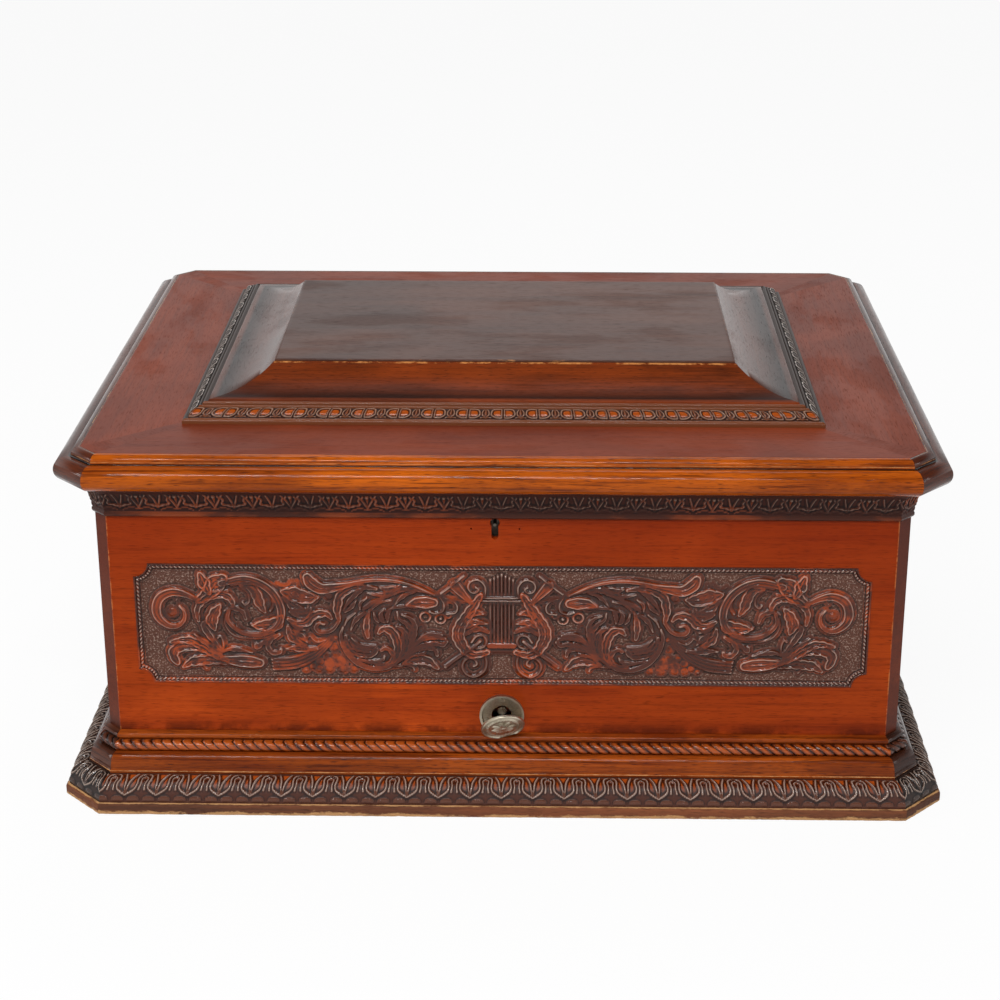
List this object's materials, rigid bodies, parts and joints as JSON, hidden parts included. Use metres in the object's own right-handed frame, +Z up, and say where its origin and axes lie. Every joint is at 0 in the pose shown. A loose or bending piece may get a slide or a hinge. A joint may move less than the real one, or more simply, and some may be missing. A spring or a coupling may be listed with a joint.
{
  "type": "music box",
  "caption": "Table disc music box: chamfered mahogany case with moulded base, carved front panel, hinged raised lid and a spring-driven comb movement inside.",
  "frame": {"origin": "on the resting surface, under the middle of the plinth", "axes": "+X to the right seen from the front, -Y towards the front, +Z up"},
  "size_m": [0.74, 0.582, 0.346],
  "materials": {
    "mahogany": "aged French-polished mahogany",
    "polished_mahogany": "glossy French-polished mahogany",
    "carved_mahogany": "dark stained carved mahogany",
    "plinth_wood": "worn stained plinth board",
    "inside_wood": "plain satin lining",
    "old_nickel": "worn nickel over brass",
    "brass": "lacquered brass",
    "gilt_brass": "matt gilt casting",
    "steel": "turned and polished",
    "comb_steel": "ground tempered steel",
    "blued_steel": "heat blued",
    "disc_steel": "plain rolled sheet",
    "cast_iron": "dark painted casting"
  },
  "bodies": {
    "case": {"plinth_board": "plinth_wood", "leaf_moulding": "carved_mahogany", "base_bands": "mahogany", "rope_moulding": "carved_mahogany", "front_wall": "mahogany", "back_wall": "mahogany", "left_wall": "mahogany", "right_wall": "mahogany", "carved_panel": "carved_mahogany", "frieze_moulding": "carved_mahogany", "case_hinge_leaves": "brass", "lock_case": "brass", "winding_plate": "old_nickel", "flap_pin": "old_nickel", "plate_screw": "old_nickel", "stay_stud": "brass", "bedplate": "cast_iron", "bed_pillars": "cast_iron", "front_motor_plate": "brass", "rear_motor_plate": "brass", "motor_pillars": "steel", "disc_spindle": "steel", "front_comb": "comb_steel", "rear_comb": "comb_steel", "comb_bases": "gilt_brass", "movement_screws": "blued_steel", "star_bridge": "gilt_brass", "star_shaft": "steel", "damper_rails": "gilt_brass", "arm_post": "steel", "governor_bracket": "brass"},
    "lid": {"lid_frame": "polished_mahogany", "lid_strip": "carved_mahogany", "lid_cavetto": "polished_mahogany", "lid_crown_board": "polished_mahogany", "lid_lining": "inside_wood", "lid_hinge_leaves": "brass", "link_plate": "brass", "stay_bracket": "brass"},
    "stay_rod": {"stay_rod": "brass"},
    "stay_guide": {"stay_guide": "brass"},
    "lock_bolt": {"lock_bolt": "steel"},
    "winding_flap": {"winding_flap": "old_nickel"},
    "star_wheels": {"star_wheels": "brass"},
    "spring_barrel": {"spring_barrel": "brass", "great_wheel": "brass"},
    "winding_arbor": {"winding_arbor": "steel", "ratchet_wheel": "steel"},
    "click": {"click": "steel"},
    "drive_sprocket": {"drive_arbor": "steel", "drive_sprocket": "brass"},
    "first_wheel": {"first_wheel": "brass"},
    "second_wheel": {"second_wheel": "brass"},
    "governor_fly": {"governor_fly": "steel"},
    "stop_lever": {"stop_lever": "steel"},
    "tune_disc": {"tune_disc": "disc_steel"},
    "pressure_arm": {"pressure_arm": "brass"},
    "pressure_rollers": {"pressure_rollers": "brass"}
  },
  "joints": [
    {"name": "lid_hinge", "type": "hinge", "parent": "case", "child": "lid", "pos_m": [0, 0.272, 0.2845], "axis": [-1, 0, 0], "range_deg": [0, 95]},
    {"name": "stay_pivot", "type": "hinge", "parent": "lid", "child": "stay_rod", "pos_m": [0.304, 0.12214, 0.27796], "axis": [-1, 0, 0], "range_deg": [-47.5, 0]},
    {"name": "stay_swivel", "type": "hinge", "parent": "case", "child": "stay_guide", "pos_m": [0.304, 0.12646, 0.24821], "axis": [-1, 0, 0], "range_deg": [0, 47.5]},
    {"name": "lock_slide", "type": "slide", "parent": "case", "child": "lock_bolt", "axis": [1, 0, 0], "range_m": [0, 0.007]},
    {"name": "flap_hinge", "type": "hinge", "parent": "case", "child": "winding_flap", "pos_m": [0.00474, -0.2576, 0.06151], "axis": [0.9563, 0, 0.2924], "range_deg": [-35, 45]},
    {"name": "star_wheel_turn", "type": "hinge", "parent": "case", "child": "star_wheels", "pos_m": [-0.14, 0, 0.17849], "axis": [1, 0, 0], "continuous": true},
    {"name": "barrel_turn", "type": "hinge", "parent": "case", "child": "spring_barrel", "pos_m": [0, -0.182, 0.077], "axis": [0, 1, 0], "continuous": true},
    {"name": "arbor_wind", "type": "hinge", "parent": "case", "child": "winding_arbor", "pos_m": [0, -0.19, 0.077], "axis": [0, 1, 0], "continuous": true},
    {"name": "click_lift", "type": "hinge", "parent": "case", "child": "click", "pos_m": [-0.022, -0.2285, 0.093], "axis": [0, -1, 0], "range_deg": [0, 12]},
    {"name": "sprocket_turn", "type": "hinge", "parent": "case", "child": "drive_sprocket", "pos_m": [0, -0.18, 0.1395], "axis": [0, 1, 0], "continuous": true},
    {"name": "first_wheel_turn", "type": "hinge", "parent": "case", "child": "first_wheel", "pos_m": [0.05638, -0.15, 0.09752], "axis": [0, 1, 0], "continuous": true},
    {"name": "second_wheel_turn", "type": "hinge", "parent": "case", "child": "second_wheel", "pos_m": [0.08756, -0.15, 0.07952], "axis": [0, 1, 0], "continuous": true},
    {"name": "fly_spin", "type": "hinge", "parent": "case", "child": "governor_fly", "pos_m": [0.10756, -0.167, 0.07952], "axis": [0, 0, 1], "continuous": true},
    {"name": "stop_lever_turn", "type": "hinge", "parent": "case", "child": "stop_lever", "pos_m": [0.112, -0.192, 0.162], "axis": [0, 0, 1], "range_deg": [0, 35]},
    {"name": "disc_turn", "type": "hinge", "parent": "case", "child": "tune_disc", "pos_m": [0, 0, 0.18589], "axis": [0, 0, 1], "continuous": true},
    {"name": "arm_swing", "type": "hinge", "parent": "case", "child": "pressure_arm", "pos_m": [-0.236, 0, 0.19889], "axis": [0, 0, 1], "range_deg": [0, 70]},
    {"name": "rollers_turn", "type": "hinge", "parent": "pressure_arm", "child": "pressure_rollers", "pos_m": [-0.135, 0, 0.19119], "axis": [1, 0, 0], "continuous": true}
  ],
  "couplings": [
    {"joint": "stay_pivot", "follows": "lid_hinge", "ratio": -0.5},
    {"joint": "stay_swivel", "follows": "lid_hinge", "ratio": 0.5},
    {"joint": "sprocket_turn", "follows": "barrel_turn", "ratio": -4},
    {"joint": "first_wheel_turn", "follows": "barrel_turn", "ratio": -5},
    {"joint": "second_wheel_turn", "follows": "barrel_turn", "ratio": 25},
    {"joint": "fly_spin", "follows": "barrel_turn", "ratio": 400},
    {"joint": "disc_turn", "follows": "barrel_turn", "ratio": -0.88889},
    {"joint": "rollers_turn", "follows": "barrel_turn", "ratio": 30}
  ]
}
